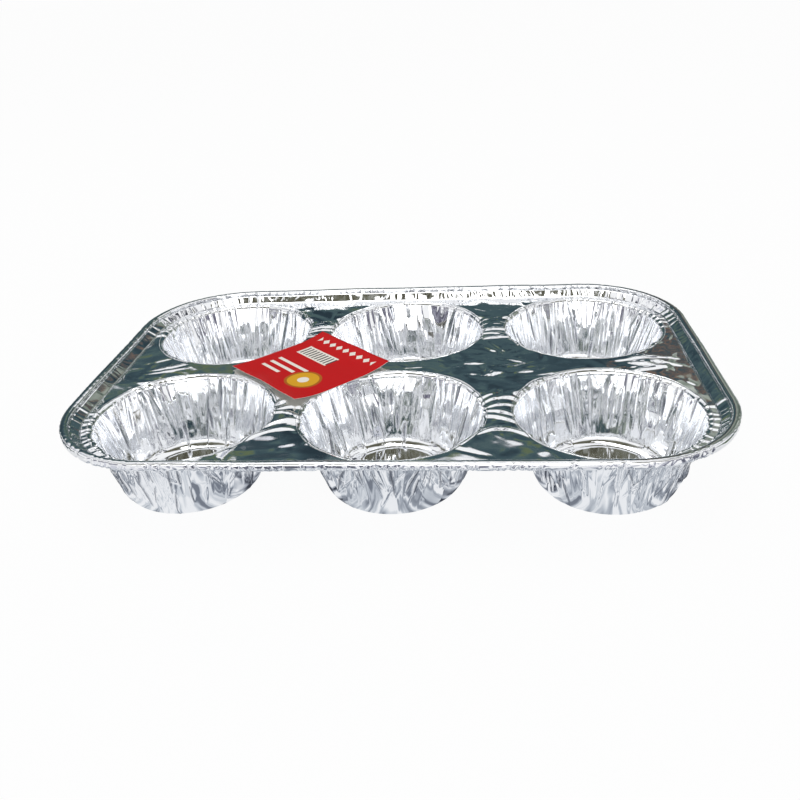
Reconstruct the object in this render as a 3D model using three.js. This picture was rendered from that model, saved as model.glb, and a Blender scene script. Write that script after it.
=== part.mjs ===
// A disposable muffin pan, pressed from one sheet of aluminium foil, with a paper label stuck on its deck.
// Millimetres, +Z up. The origin is on the surface that the pan stands on, under the pan's middle.
// The foil is one sheet on the real pan. Here it is parted along its press lines into deck, cups, shoulder and rim.
import * as THREE from "three";

// The sheet
const FOIL = 0.12; // thickness
const SEAM = 0.3; // clearance between two neighbouring zones of the sheet

// The cups
const COLUMNS = 3; // along X
const ROWS = 2; // along Y
const MOUTH_RADIUS = 35.5; // the wall where it reaches the lip
const LIP_RADIUS = 2; // the wall rolls over this radius onto the deck
const WEB_FLAT = 9.5; // flat deck between the lips of two neighbouring cups
const DECK_HEIGHT = 31; // top of the deck above the surface that the pan stands on
const BASE_RADIUS = 24; // outer edge of the flat ring that a cup stands on
const BASE_ROUNDING = 4.6; // rise and run of the curve from that ring into the wall
const REST_RING = 2.4; // width of the ring
const FLOOR_SLOPE = 1.6; // width of the slope from the ring up to the raised floor
const FLOOR_RISE = 3.2; // height of the raised floor above the ring

// The border
const BORDER_FLAT = 2; // flat deck between a cup's lip and the foot of the shoulder
const SHOULDER_RUN = 3.6; // width of the slope from the deck up to the rim
const BEAD_LIFT = 3.3; // middle of the rolled rim above the deck
const BEAD_DIAMETER = 3.4; // outside of the rolled rim
const CURL_SLIT = 35; // degrees left open between the end of the curl and its start

// The label
const LABEL_SIDE = 50; // square
const PAPER = 0.15; // thickness
const LABEL_TURN = -45; // degrees about Z
const LABEL_SHIFT = 2.3; // along +X from the middle of the deck's left star
const LABEL_FLAT = 18; // width of the strip along the label's middle that lies flat on its glue
const LABEL_CURL = 2; // rise of the two edges beside that strip
const GLUE = 0.1; // thickness of the glue coat
const GLUE_INSET = 1.5; // the glue stops this far short of each side of the flat strip
const GLUE_MARGIN = 4; // and this far short of the cups' lips
const BOND_GAP = 0.1; // clearance between deck and glue, and between glue and paper

// Facets
const CUP_SIDES = 36;
const CORNER_SIDES = 10; // round each corner of the pan
const ROUNDING_STEPS = 3;
const LIP_STEPS = 2;
const CURL_STEPS = 12;
const LABEL_STEPS = 4; // from the flat strip to each raised edge

// Sizes that follow from those
const LIP_EDGE = MOUTH_RADIUS + LIP_RADIUS;
const CUP_PITCH = 2 * LIP_EDGE + WEB_FLAT;
const SHOULDER_FOOT = LIP_EDGE + BORDER_FLAT; // radii about a corner cup, with which each corner is concentric
const SHOULDER_HEAD = SHOULDER_FOOT + SHOULDER_RUN;
const BEAD_HEIGHT = DECK_HEIGHT + BEAD_LIFT;
const SPAN_X = ((COLUMNS - 1) * CUP_PITCH) / 2; // from the pan's middle to its outermost cups
const SPAN_Y = ((ROWS - 1) * CUP_PITCH) / 2;

const pan = new THREE.Group();

function foil() {
  return new THREE.MeshStandardMaterial({ color: 0xd9dde1, roughness: 0.22, metalness: 1 });
}

function addPiece(parent, name, geometry, material) {
  const mesh = new THREE.Mesh(geometry, material);
  mesh.name = name;
  parent.add(mesh);
  return mesh;
}

// A lathed solid, stood up so that it turns about Z.
function turned(profile, sides, start = 0) {
  return new THREE.LatheGeometry(profile, sides, start).rotateX(Math.PI / 2);
}

// The profile of a strip of sheet: a line, and the same line moved by the sheet's thickness to its left.
function stripAlong(line, thickness) {
  const moved = line.map((point, i) => {
    const before = line[Math.max(i - 1, 0)];
    const after = line[Math.min(i + 1, line.length - 1)];
    const along = after.clone().sub(before).normalize();
    return new THREE.Vector2(point.x - along.y * thickness, point.y + along.x * thickness);
  });
  return [...line, ...moved.reverse()];
}

// The points of a circle, on the same angles as a lathe of that many sides.
function circlePoints(radius, sides, start = 0) {
  const points = [];
  for (let i = 0; i < sides; i++) {
    const angle = start + (i / sides) * 2 * Math.PI;
    points.push(new THREE.Vector2(radius * Math.cos(angle), radius * Math.sin(angle)));
  }
  return points;
}

// What runs round the pan is a ring about one corner cup, whose four quarters are moved apart to the four corner cups.
// The ring has a flat, not an edge, on each axis, so that its sides stay straight there.
const RING_SIDES = 4 * CORNER_SIDES;
const HALF_STEP = Math.PI / RING_SIDES;
const TO_CORNERS = 1 / Math.cos(HALF_STEP);

function movedApart(x, y) {
  return new THREE.Vector2(x + Math.sign(x) * SPAN_X, y + Math.sign(y) * SPAN_Y);
}

function outlineAt(radius) {
  return circlePoints(radius * TO_CORNERS, RING_SIDES, HALF_STEP).map((point) => movedApart(point.x, point.y));
}

function ringAroundPan(profile) {
  const section = profile.map((point) => new THREE.Vector2(point.x * TO_CORNERS, point.y));
  const ring = turned([...section, section[0].clone()], RING_SIDES, HALF_STEP);
  const position = ring.getAttribute("position");
  for (let i = 0; i < position.count; i++) {
    const place = movedApart(position.getX(i), position.getY(i));
    position.setXY(i, place.x, place.y);
  }
  return ring;
}

function cupCentre(column, row) {
  return new THREE.Vector2(column * CUP_PITCH - SPAN_X, row * CUP_PITCH - SPAN_Y);
}

function forEachCup(visit) {
  for (let row = 0; row < ROWS; row++) {
    for (let column = 0; column < COLUMNS; column++) {
      visit(column, row, cupCentre(column, row));
    }
  }
}

// Cups: a raised floor, a flat ring to stand on, a tapered wall, and a lip that rolls over to the deck.
function cupGeometry() {
  const ringInside = BASE_RADIUS - REST_RING;
  const wallFoot = new THREE.Vector2(BASE_RADIUS + BASE_ROUNDING, BASE_ROUNDING);
  const wallTop = new THREE.Vector2(MOUTH_RADIUS, DECK_HEIGHT - FOIL - LIP_RADIUS);
  const taper = (wallTop.x - wallFoot.x) / (wallTop.y - wallFoot.y);
  const ringOutside = new THREE.Vector2(BASE_RADIUS, 0);
  const sharpCorner = new THREE.Vector2(wallFoot.x - taper * wallFoot.y, 0); // where wall and ring would meet
  const underside = [
    new THREE.Vector2(0, FLOOR_RISE),
    new THREE.Vector2(ringInside - FLOOR_SLOPE, FLOOR_RISE),
    new THREE.Vector2(ringInside, 0),
    ...new THREE.QuadraticBezierCurve(ringOutside, sharpCorner, wallFoot).getPoints(ROUNDING_STEPS),
    wallTop,
  ];
  for (let i = 1; i <= LIP_STEPS; i++) {
    const turn = ((i / LIP_STEPS) * Math.PI) / 2;
    const out = LIP_RADIUS * (1 - Math.cos(turn));
    const up = LIP_RADIUS * Math.sin(turn);
    underside.push(new THREE.Vector2(wallTop.x + out, wallTop.y + up));
  }
  return turned(stripAlong(underside, FOIL), CUP_SIDES);
}

function placeName(index, count, first, last) {
  if (index === 0) return first;
  if (index === count - 1) return last;
  return count === 3 ? "middle" : `middle_${index}`;
}

forEachCup((column, row, centre) => {
  const rowName = placeName(row, ROWS, "front", "back");
  const columnName = placeName(column, COLUMNS, "left", "right");
  const cup = addPiece(pan, `cup_${rowName}_${columnName}`, cupGeometry(), foil());
  cup.position.set(centre.x, centre.y, 0);
});

// Deck: the flat web that the cups hang from, with a round opening for each.
function deckGeometry() {
  const shape = new THREE.Shape(outlineAt(SHOULDER_FOOT - SEAM));
  forEachCup((column, row, centre) => {
    const edge = circlePoints(LIP_EDGE + SEAM, CUP_SIDES);
    shape.holes.push(new THREE.Path(edge.map((point) => point.add(centre))));
  });
  const plate = new THREE.ExtrudeGeometry(shape, { depth: FOIL, bevelEnabled: false });
  return plate.translate(0, 0, DECK_HEIGHT - FOIL);
}

addPiece(pan, "deck", deckGeometry(), foil());

// Shoulder: the slope that carries the rim above the deck.
function shoulderGeometry() {
  const foot = new THREE.Vector2(SHOULDER_FOOT, DECK_HEIGHT - FOIL);
  const head = new THREE.Vector2(SHOULDER_HEAD - SEAM, BEAD_HEIGHT - FOIL);
  return ringAroundPan(stripAlong([foot, head], FOIL));
}

addPiece(pan, "shoulder", shoulderGeometry(), foil());

// Rolled rim: the edge of the sheet, curled up, outwards, down and back under itself, with a slit where it ends.
function rimGeometry() {
  const middle = new THREE.Vector2(SHOULDER_HEAD + BEAD_DIAMETER / 2, BEAD_HEIGHT);
  const sweep = THREE.MathUtils.degToRad(360 - CURL_SLIT);
  const curl = [];
  for (let i = 0; i <= CURL_STEPS; i++) {
    const turn = Math.PI - sweep + (i / CURL_STEPS) * sweep;
    const outwards = new THREE.Vector2(Math.cos(turn), Math.sin(turn));
    curl.push(outwards.multiplyScalar(BEAD_DIAMETER / 2).add(middle));
  }
  return ringAroundPan(stripAlong(curl, FOIL));
}

addPiece(pan, "rolled_rim", rimGeometry(), foil());

// Label: a square of paper on the flat star between four cups. Its middle is stuck down, and two edges curl up.
const label = new THREE.Group();
const star = cupCentre(0, 0).addScalar(CUP_PITCH / 2);
label.position.set(star.x + LABEL_SHIFT, star.y, DECK_HEIGHT + BOND_GAP);
label.rotation.z = THREE.MathUtils.degToRad(LABEL_TURN);
pan.add(label);

function labelGeometry() {
  const half = [];
  for (let i = 0; i <= LABEL_STEPS; i++) {
    const share = i / LABEL_STEPS;
    const across = (LABEL_FLAT + share * (LABEL_SIDE - LABEL_FLAT)) / 2;
    half.push(new THREE.Vector2(across, LABEL_CURL * share ** 2));
  }
  const otherHalf = half.map((point) => new THREE.Vector2(-point.x, point.y)).reverse();
  const section = new THREE.Shape(stripAlong([...otherHalf, ...half], PAPER));
  const sheet = new THREE.ExtrudeGeometry(section, { depth: LABEL_SIDE, bevelEnabled: false });
  // Stood up, the section lies across Y, and the flat strip runs along X.
  return sheet.translate(0, 0, -LABEL_SIDE / 2).rotateX(Math.PI / 2).rotateZ(Math.PI / 2);
}

const paper = new THREE.MeshStandardMaterial({ color: 0xc4161c, roughness: 0.5, metalness: 0 });
addPiece(label, "label", labelGeometry(), paper).position.z = GLUE + BOND_GAP;

// Glue: the coat under the label's flat strip, on the part of the star that is flat.
const starReach = (CUP_PITCH * Math.SQRT2) / 2 - LIP_EDGE;
const glueLength = 2 * (starReach - GLUE_MARGIN);
const glueBox = new THREE.BoxGeometry(glueLength, LABEL_FLAT - 2 * GLUE_INSET, GLUE);
const gluey = new THREE.MeshStandardMaterial({ color: 0xe6dfc8, roughness: 0.4, metalness: 0 });
addPiece(label, "label_glue", glueBox, gluey).position.z = GLUE / 2;

export default pan;
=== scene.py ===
"""The looks of a disposable foil muffin pan.

Six creased cups, a mirror-like deck, a crinkled border and a paper label.
"""

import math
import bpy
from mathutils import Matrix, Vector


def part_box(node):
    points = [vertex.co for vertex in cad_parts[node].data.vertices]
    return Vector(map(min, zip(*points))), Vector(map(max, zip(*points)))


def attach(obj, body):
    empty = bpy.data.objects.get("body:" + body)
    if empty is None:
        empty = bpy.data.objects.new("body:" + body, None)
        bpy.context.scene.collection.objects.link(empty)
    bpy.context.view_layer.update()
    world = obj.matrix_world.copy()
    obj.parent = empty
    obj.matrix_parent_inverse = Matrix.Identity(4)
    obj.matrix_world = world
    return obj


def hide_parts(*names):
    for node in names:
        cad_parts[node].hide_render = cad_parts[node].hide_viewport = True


bl_info = {
    "name": "Foil Muffin Pan",
    "version": (1, 0, 0),
    "blender": (4, 5, 0),
    "location": "3D View > Sidebar > Foil Pan",
    "description": "Builds a pressed-foil muffin pan with its folds, its rolled rim and a paper label",
    "category": "Object",
}

from collections import namedtuple

import bmesh
import bpy
import numpy as np
from bpy.props import FloatProperty, FloatVectorProperty, IntProperty, PointerProperty
from mathutils import Matrix, Vector

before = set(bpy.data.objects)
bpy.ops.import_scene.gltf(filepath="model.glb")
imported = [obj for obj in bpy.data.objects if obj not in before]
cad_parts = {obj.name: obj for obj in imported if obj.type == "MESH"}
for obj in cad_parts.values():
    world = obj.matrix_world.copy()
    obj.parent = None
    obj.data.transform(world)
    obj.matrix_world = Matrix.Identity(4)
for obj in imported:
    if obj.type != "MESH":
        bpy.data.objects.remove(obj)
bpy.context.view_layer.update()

MM = 0.001
TINY = 1e-6
FULL_TURN = 2 * math.pi

# Places and sizes that the frame gives
CUP_BOXES = {name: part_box(name) for name in sorted(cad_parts) if name.startswith("cup_")}
CUP_CENTRES = {name: (low + high) / 2 for name, (low, high) in CUP_BOXES.items()}
LIP_EDGE = max((high - low).x for low, high in CUP_BOXES.values()) / 2
DECK_TOP = max(high.z for low, high in CUP_BOXES.values())
SPAN_X = max(centre.x for centre in CUP_CENTRES.values())
SPAN_Y = max(centre.y for centre in CUP_CENTRES.values())
CUP_PITCH = 2 * SPAN_Y
SEAM = 0.3 * MM  # clearance that the frame leaves along the press lines, and that the foil closes here
SHOULDER_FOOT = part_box("deck")[1].x - SPAN_X + SEAM
RIM_LOW, RIM_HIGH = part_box("rolled_rim")
BEAD_RADIUS = (RIM_HIGH.z - RIM_LOW.z) / 2
BEAD_HEIGHT = (RIM_HIGH.z + RIM_LOW.z) / 2
BEAD_MIDDLE = RIM_HIGH.x - SPAN_X - BEAD_RADIUS
RIM_LENGTH = 4 * SPAN_X + 4 * SPAN_Y + FULL_TURN * BEAD_MIDDLE
CURL_SLIT = 35  # degrees left open between the end of the rim's curl and its start
LABEL_LOW, LABEL_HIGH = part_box("label")
LABEL_CENTRE = (LABEL_LOW + LABEL_HIGH) / 2
LABEL_SIDE = (LABEL_HIGH.x - LABEL_LOW.x) / math.sqrt(2)
LABEL_TURN = -45  # degrees about Z

# How finely the foil and the paper are divided
CUP_STEPS = 600
FLOOR_ROWS = 9
SLOPE_ROWS = 6
ROUNDING_ROWS = 9
WALL_ROWS = 43
LIP_ROWS = 7
DECK_STEPS = 300
DECK_RINGS = 21
CORNER_STEPS = 112
SIDE_STEP = 0.5 * MM
BEAD_STEPS = 20
SHOULDER_STEPS = 7
LABEL_STEPS = 64

# Folds
SHADE = "fold_shade"  # attribute that says how far a point lies in the shade of a fold
BAND_LEVELS = 4  # heights up a wall between which a band may swell or shrink
FOLD_END = 1.13  # folds in a wall run out on the deck by here, where 1 is the wall's top
NECK_HALF_WIDTH = CUP_PITCH / 2 - LIP_EDGE + 2 * MM
NECK_HALF_LENGTH = 15 * MM
NECK_CREST = 7 * MM  # beyond this, a neck's saddle and ridges die away
BOW_REACH = 10 * MM  # beyond this, a ridge across a neck runs straight
CRINKLE_SPACING = 3.2 * MM  # along the shoulder
RIPPLE_HEIGHT = 0.12 * MM  # along the label's raised edges
RIPPLE_LENGTH = 23 * MM

# Streams of random numbers, one for each kind of fold
CREASE_STREAM = 1
CRINKLE_STREAM = 2
PLEAT_STREAM = 20
NECK_STREAM = 30
HANDLING_STREAM = 40
SHOULDER_STREAM = 50
CRIMP_STREAM = 60
WOBBLE_STREAM = 70


def linear(code):
    """Turns an sRGB hex colour into linear red, green and blue."""
    shares = [int(code[i:i + 2], 16) / 255 for i in (1, 3, 5)]
    return [s / 12.92 if s <= 0.04045 else ((s + 0.055) / 1.055) ** 2.4 for s in shares]


def length(name, description, default):
    """A property that holds a length."""
    return FloatProperty(name=name, description=description, default=default, unit="LENGTH", precision=5)


def number(name, description, default):
    """A property that holds how many there are."""
    return IntProperty(name=name, description=description, default=default)


def degrees(name, description, default):
    """A property that holds an angle."""
    return FloatProperty(name=name, description=description, default=math.radians(default), subtype="ANGLE")


def colour(name, description, code):
    """A property that holds a colour."""
    return FloatVectorProperty(name=name, description=description, default=linear(code), subtype="COLOR",
                               min=0, max=1)


class FoilSettings(bpy.types.PropertyGroup):
    """The sheet that the pan is pressed from."""
    thickness: length("Thickness", "Thickness of the foil", 0.12 * MM)
    bright: colour("Bright", "Colour of clean foil", "#F8F9FA")
    dull: colour("Dull", "Colour where the foil is slightly oxidised", "#EDEFF3")
    # Painted shade: the colour that darkens the lines of the folds that are pressed in
    painted_fold_shade: colour("Folded", "Colour in the line of a fold that is pressed in", "#6A6F7B")
    roughness: FloatProperty(name="Roughness", description="Roughness of the foil's bright side",
                             default=0.06, min=0, max=1, subtype="FACTOR")
    seed: number("Seed", "Changes where the folds, dents and creases fall", 11)


class CupSettings(bpy.types.PropertyGroup):
    """The shape of a cup, and the folds in its wall."""
    base_radius: length("Base radius", "Outer edge of the flat ring that a cup stands on", 24 * MM)
    base_rounding: length("Base rounding", "Rise and run of the curve from there into the wall", 4.6 * MM)
    rest_ring: length("Ring width", "Width of the ring", 2.4 * MM)
    floor_slope: length("Floor slope", "Width of the slope from the ring up to the floor", 1.6 * MM)
    floor_rise: length("Floor rise", "Height of the raised floor above the ring", 3.2 * MM)
    floor_crown: length("Floor crown", "Extra height in the middle of the floor", 0.7 * MM)
    lip_radius: length("Lip radius", "The wall rolls over this radius onto the deck", 2 * MM)
    bands: number("Bands", "Bulging bands round a wall", 52)
    band_height: length("Band height", "How far a band of middling width bulges into the cup", 0.42 * MM)
    creases: number("Creases", "Narrow folds in a wall", 76)
    front_creases: number("Front creases", "Slanting folds in the front of a wall", 46)
    crinkle: length("Crinkle", "Height of the small crinkles", 0.03 * MM)


class BorderSettings(bpy.types.PropertyGroup):
    """The folds in the deck, the shoulder and the rolled rim."""
    pleats: number("Pleats", "Pleats round each corner", 15)
    pleat_height: length("Pleat height", "Height of a corner pleat", 0.5 * MM)
    ridges: number("Ridges", "Ridges across each neck between two cups", 5)
    ridge_height: length("Ridge height", "Height of the highest ridge across a neck", 0.75 * MM)
    saddle_drop: length("Saddle drop", "How far a neck falls away to its two lips", 0.9 * MM)
    deck_waves: number("Deck waves", "Sets of shallow facets in the deck", 7)
    deck_slope: FloatProperty(name="Deck slope", description="Slope of the steepest facet", default=0.02)
    deck_creases: number("Deck creases", "Short creases in the deck", 165)
    deck_crease_height: length("Deck crease height", "Height of a short crease in the deck", 0.3 * MM)
    star_creases: number("Star creases", "Short creases between four cups", 15)
    side_folds: number("Side folds", "Rounded folds across each short side", 7)
    side_fold_height: length("Side fold height", "Height of the highest of those folds", 0.7 * MM)
    shoulder_crinkle: length("Shoulder crinkle", "Depth of the crinkles across the shoulder", 0.26 * MM)
    rim_wobble: length("Rim wobble", "How far the rim rises and falls along its length", 0.3 * MM)
    crimps: number("Crimps", "Crimps in the rolled rim", 330)
    crimp_depth: length("Crimp depth", "Depth of the deepest crimp", 0.5 * MM)


class LabelSettings(bpy.types.PropertyGroup):
    """The printed paper label."""
    paper: length("Paper", "Thickness of the paper", 0.15 * MM)
    flat: length("Flat strip", "Width of the strip that lies flat on its glue", 18 * MM)
    ground: colour("Ground", "Printed ground", "#CB070D")
    pale: colour("Pale", "Pale printed shapes", "#F3EEE4")
    gold: colour("Gold", "Round printed motif", "#E2A91E")
    amber: colour("Amber", "Shaded side of the round motif", "#B5661A")
    ink: colour("Ink", "Printed stripes", "#4A4A4C")


class StageSettings(bpy.types.PropertyGroup):
    """Camera, floor and what the foil mirrors."""
    eye: FloatVectorProperty(name="Eye", description="Where the camera stands", subtype="TRANSLATION",
                             default=(32.563 * MM, -320.434 * MM, 181.278 * MM))
    heading: degrees("Heading", "Turn of the camera about Z", 5.94)
    dip: degrees("Dip", "How far the camera looks down", 27.42)
    roll: degrees("Roll", "Turn of the camera about its own line of sight", -3.35)
    lens: FloatProperty(name="Lens", description="Focal length", default=36.31, unit="CAMERA")
    floor: colour("Floor", "Pale floor", "#F4F5F6")


class FoilPanSettings(bpy.types.PropertyGroup):
    """Everything that can be set on the pan."""
    foil: PointerProperty(type=FoilSettings)
    cup: PointerProperty(type=CupSettings)
    border: PointerProperty(type=BorderSettings)
    label: PointerProperty(type=LabelSettings)
    stage: PointerProperty(type=StageSettings)


# Shapes of folds

def draws(pan, *stream):
    """Random numbers that depend on the seed and on what they are for."""
    return np.random.default_rng([pan.foil.seed, *stream])


def smooth_step(low, high, values):
    """Rises smoothly from 0 at low to 1 at high."""
    share = np.clip((values - low) / (high - low), 0, 1)
    return share * share * (3 - 2 * share)


def sharp_ridge(offset, half_width):
    """A ridge with a sharp crest: 1 on the crest, 0 from half_width on."""
    return np.clip(1 - np.abs(offset) / half_width, 0, None)


def round_ridge(offset, half_width):
    """A ridge with a round crest: 1 on the crest, 0 from half_width on."""
    share = np.clip(np.abs(offset) / half_width, 0, 1)
    return (1 - share ** 2) ** 2


def zigzag(values):
    """A wave of straight slopes between -1 and 1, with a period of 1."""
    return 4 * np.abs(values % 1 - 0.5) - 1


def turned_by(angle, start):
    """The angle from start, between minus and plus half a turn."""
    return (angle - start + math.pi) % FULL_TURN - math.pi


def along_and_across(x, y, place_x, place_y, heading):
    """How far points lie along and across a line through a place."""
    along = (x - place_x) * math.cos(heading) + (y - place_y) * math.sin(heading)
    across = (y - place_y) * math.cos(heading) - (x - place_x) * math.sin(heading)
    return along, across


def lattice_noise(rng, around, up, angle, share):
    """Smooth noise on a wall: random heights on a lattice, blended between its points."""
    heights = rng.uniform(-1, 1, (up + 1, around))
    column = (angle / FULL_TURN % 1) * around
    row = np.clip(share, 0, 1) * up
    left = np.floor(column).astype(int) % around
    below = np.minimum(np.floor(row).astype(int), up - 1)
    across = smooth_step(0, 1, column % 1)
    climb = smooth_step(0, 1, row - below)
    right = (left + 1) % around
    lower = heights[below, left] * (1 - across) + heights[below, right] * across
    upper = heights[below + 1, left] * (1 - across) + heights[below + 1, right] * across
    return lower * (1 - climb) + upper * climb


def wall_climb(radius, pan):
    """How far up a wall points lie: 0 at its foot, 1 at its top, and more on the lip and the deck."""
    line = np.array(cup_line(pan))
    radii = line[:, 0]
    lengths = np.concatenate(([0], np.cumsum(np.hypot(*np.diff(line, axis=0).T))))
    ends = (pan.cup.base_radius + pan.cup.base_rounding, LIP_EDGE - pan.cup.lip_radius)
    foot, top = np.interp(ends, radii, lengths)
    along = np.interp(radius, radii, lengths) + np.maximum(radius - LIP_EDGE, 0)
    return np.maximum((along - foot) / (top - foot), 0)


# Two kinds of crease in a wall: angles about the cup's axis, spread of the lean, greatest half width in
# millimetres, share of the full slope, lowest start, and the slope below which a crease is shaded
CreaseKind = namedtuple("CreaseKind", "angles lean widest flattening lowest shaded_from")
ROUND_THE_WALL = CreaseKind((0, FULL_TURN), 0.07, 1.2, 1, -0.2, -0.6)
IN_FRONT = CreaseKind((-2.7, -0.4), 0.3, 1.4, 0.6, 0.05, -0.5)
CREASE_SLOPES = (0.35, 0.5, 0.7, 1.0)
FOLDED_IN_OR_OUT = (-1, -1, 1)


class WallFolds:
    """The folds that pressing leaves in one cup's wall.

    Climb is 0 at the wall's foot and 1 at its top, and goes on over the lip and out on the deck.
    """

    def __init__(self, index, pan):
        self.index = index
        self.pan = pan
        self.cup = pan.cup
        rng = draws(pan, index)
        count = pan.cup.bands
        widths = rng.uniform(0.35, 1, count) ** 1.6
        self.widths = widths * FULL_TURN / widths.sum()
        self.starts = np.cumsum(self.widths) - self.widths
        self.heights = rng.uniform(0.05, 1, (BAND_LEVELS + 1, count)) * self.widths / self.widths.mean()
        self.waves = [(rng.uniform(-0.025, 0.025), turns, rng.uniform(0, FULL_TURN))
                      for turns in range(2, 11)]

    def swayed(self, angle, climb):
        """The angle at the wall's foot of the fold line that passes a point."""
        sway = sum(size * np.sin(turns * angle + phase) for size, turns, phase in self.waves)
        return (angle + sway * (climb - 0.5) * 2) % FULL_TURN

    def bands(self, angle, climb):
        """Bands that bulge into the cup, with a narrow groove between two."""
        start = self.swayed(angle, climb)
        band = np.searchsorted(self.starts, start, side="right") - 1
        across = (start - self.starts[band]) / self.widths[band]
        level = np.clip(climb, 0, 1) * BAND_LEVELS
        below = np.minimum(np.floor(level).astype(int), BAND_LEVELS - 1)
        part = level - below
        height = self.heights[below, band] * (1 - part) + self.heights[below + 1, band] * part
        bulge = self.cup.band_height * height * (1 - np.abs(2 * across - 1) ** 5)
        return bulge * smooth_step(0, 0.4, climb)

    def creases(self, angle, climb, radius):
        """Narrow folds, pointed at both ends, that run part of the way up the wall or over the lip.

        Gives their height, and how far a point lies in the painted shade of one that is pressed in.
        """
        rng = draws(self.pan, self.index, CREASE_STREAM)
        start = self.swayed(angle, climb)
        total = np.zeros_like(angle)
        shade = np.zeros_like(angle)
        for kind in [ROUND_THE_WALL] * self.cup.creases + [IN_FRONT] * self.cup.front_creases:
            centre = rng.uniform(*kind.angles)
            lean = rng.normal(0, kind.lean)
            half_width = rng.uniform(0.45, kind.widest) * MM
            slope = rng.choice(CREASE_SLOPES) * rng.choice(FOLDED_IN_OR_OUT) * kind.flattening
            first = rng.uniform(kind.lowest, 0.85)
            run = rng.uniform(0.35, 0.95)
            along = np.clip((climb - first) / run, 0, 1)
            width = half_width * np.sqrt(np.sin(along * math.pi)) + TINY
            offset = turned_by(start, centre + lean * climb) * radius
            total += slope * width * sharp_ridge(offset, width)
            if slope < kind.shaded_from:
                reach = 0.25 * width + 0.35 * MM * np.sin(along * math.pi) + TINY
                shade = np.maximum(shade, sharp_ridge(offset, reach))
        return total, shade

    def crinkles(self, angle, climb):
        """Small crinkles, longer up the wall than round it."""
        rng = draws(self.pan, self.index, CRINKLE_STREAM)
        return self.cup.crinkle * lattice_noise(rng, 120, 6, self.swayed(angle, climb), climb)

    def relief(self, angle, climb, radius):
        """Height and shade of all the folds, which die away where the lip runs out on the deck."""
        fade = 1 - smooth_step(1, FOLD_END, climb)
        folds = self.bands(angle, climb) + self.crinkles(angle, climb)
        creases, shade = self.creases(angle, climb, radius)
        return fade * (folds + creases), fade * shade


def lip_relief(x, y, pan):
    """Height of the wall folds that run over the lips onto the deck."""
    height = np.zeros_like(x)
    for index, centre in enumerate(CUP_CENTRES.values()):
        reach = np.hypot(x - centre.x, y - centre.y)
        climb = wall_climb(reach, pan)
        near = climb < FOLD_END
        angle = np.arctan2(y[near] - centre.y, x[near] - centre.x)
        height[near] += WallFolds(index, pan).relief(angle, climb[near], reach[near])[0]
    return height


def pleat_relief(x, y, pan):
    """Height of the pleats that gather the foil round the four corners."""
    height = np.zeros_like(x)
    for corner, (side_x, side_y) in enumerate(((-1, -1), (1, -1), (1, 1), (-1, 1))):
        rng = draws(pan, PLEAT_STREAM + corner)
        out_x = side_x * x - SPAN_X
        out_y = side_y * y - SPAN_Y
        reach = np.hypot(out_x, out_y)
        turn = np.arctan2(out_y, out_x)
        # Pleats run from the cup's wall to the shoulder, and on for 6 degrees at both ends of the corner.
        fade = smooth_step(26 * MM, 34 * MM, reach) * (1 - smooth_step(41.5 * MM, 44 * MM, reach))
        for pleat in range(pan.border.pleats):
            place = pleat + 0.5 + rng.uniform(-0.25, 0.25)
            angle = math.radians(-6 + 102 * place / pan.border.pleats)
            lean = rng.uniform(-9, 9)
            half_width = rng.uniform(0.6, 1.0) * MM
            size = rng.uniform(0.5, 1) * pan.border.pleat_height
            offset = turned_by(turn, angle + lean * (reach - LIP_EDGE)) * reach
            height += size * fade * round_ridge(offset, half_width)
    return height


def neck_relief(x, y, pan):
    """Height of the four necks between cups of a row: saddles with ridges that run on down the walls."""
    height = np.zeros_like(x)
    for side_x in (-1, 1):
        for side_y in (-1, 1):
            rng = draws(pan, NECK_STREAM + 2 * side_x + side_y)
            across = x - side_x * CUP_PITCH / 2
            along = y - side_y * SPAN_Y
            from_axis = np.hypot(CUP_PITCH / 2 - np.abs(across), along)
            spread = LIP_EDGE / np.maximum(from_axis, LIP_EDGE / 2)
            along = along * np.where(from_axis < LIP_EDGE, spread, 1)
            ends = 1 - smooth_step(0.6 * NECK_HALF_LENGTH, 1.2 * NECK_HALF_LENGTH, np.abs(along))
            sides = 1 - smooth_step(NECK_CREST, 17 * MM, np.abs(across))
            saddle = np.minimum(np.abs(across) / NECK_HALF_WIDTH, 1) ** 2
            height -= ends * sides * saddle * pan.border.saddle_drop
            for ridge in range(pan.border.ridges):
                middle = (2 * (ridge + rng.uniform(0.2, 0.8)) / pan.border.ridges - 1) * NECK_HALF_LENGTH
                lean = rng.uniform(-0.45, 0.45)
                bow = rng.uniform(5, 50)
                half_width = rng.uniform(0.8, 2.4) * MM
                size = rng.uniform(0.15, 1) * pan.border.ridge_height
                off_side = rng.uniform(-4, 4) * MM
                fade = 1 - smooth_step(NECK_CREST, rng.uniform(10, 17) * MM, np.abs(across - off_side))
                offset = along - middle + lean * across + bow * np.minimum(across ** 2, BOW_REACH ** 2)
                height += size * fade * round_ridge(offset, half_width)
    return height


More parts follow.
